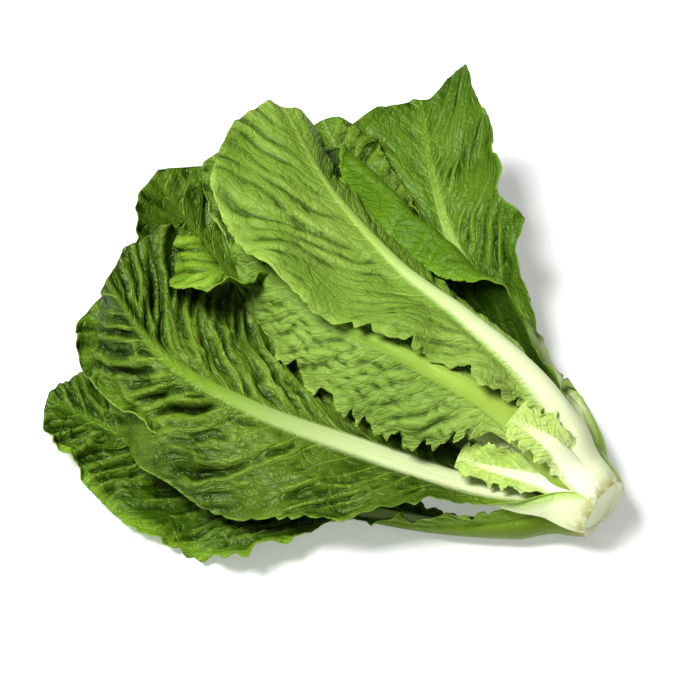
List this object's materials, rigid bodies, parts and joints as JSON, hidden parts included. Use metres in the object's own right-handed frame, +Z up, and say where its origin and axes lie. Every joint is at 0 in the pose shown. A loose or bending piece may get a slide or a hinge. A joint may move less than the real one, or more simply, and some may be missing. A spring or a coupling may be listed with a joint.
{
  "type": "romaine lettuce head",
  "caption": "Cut head of romaine lettuce lying on its side, with long waved leaves fanned out from a short stem and broad pale ribs.",
  "frame": {"origin": "middle of the head's bounding box on the surface it lies on", "axes": "+X from the stem's cut face to the leaf tips, +Z up"},
  "size_m": [0.3046, 0.3348, 0.106],
  "materials": {
    "outer_leaf": "green leaf blade with a slight gloss, pale rib",
    "heart_leaf": "light yellow-green leaf blade, white rib",
    "stem": "moist cut stem, pale grey-green"
  },
  "bodies": {
    "root": {"stem": "stem", "leaf_front_open": "outer_leaf", "leaf_front_under": "outer_leaf", "leaf_top": "outer_leaf", "leaf_front_toothed": "outer_leaf", "leaf_back_folded": "outer_leaf", "leaf_back_open": "outer_leaf", "leaf_back_under": "outer_leaf", "leaf_middle_under": "outer_leaf", "leaf_front_middle": "outer_leaf", "leaf_back_middle": "outer_leaf", "leaf_heart_back": "heart_leaf", "leaf_heart_front": "heart_leaf", "leaf_heart_core_front": "heart_leaf", "leaf_heart_core_back": "heart_leaf", "leaf_small_top": "heart_leaf", "leaf_small_front": "heart_leaf"}
  },
  "joints": []
}
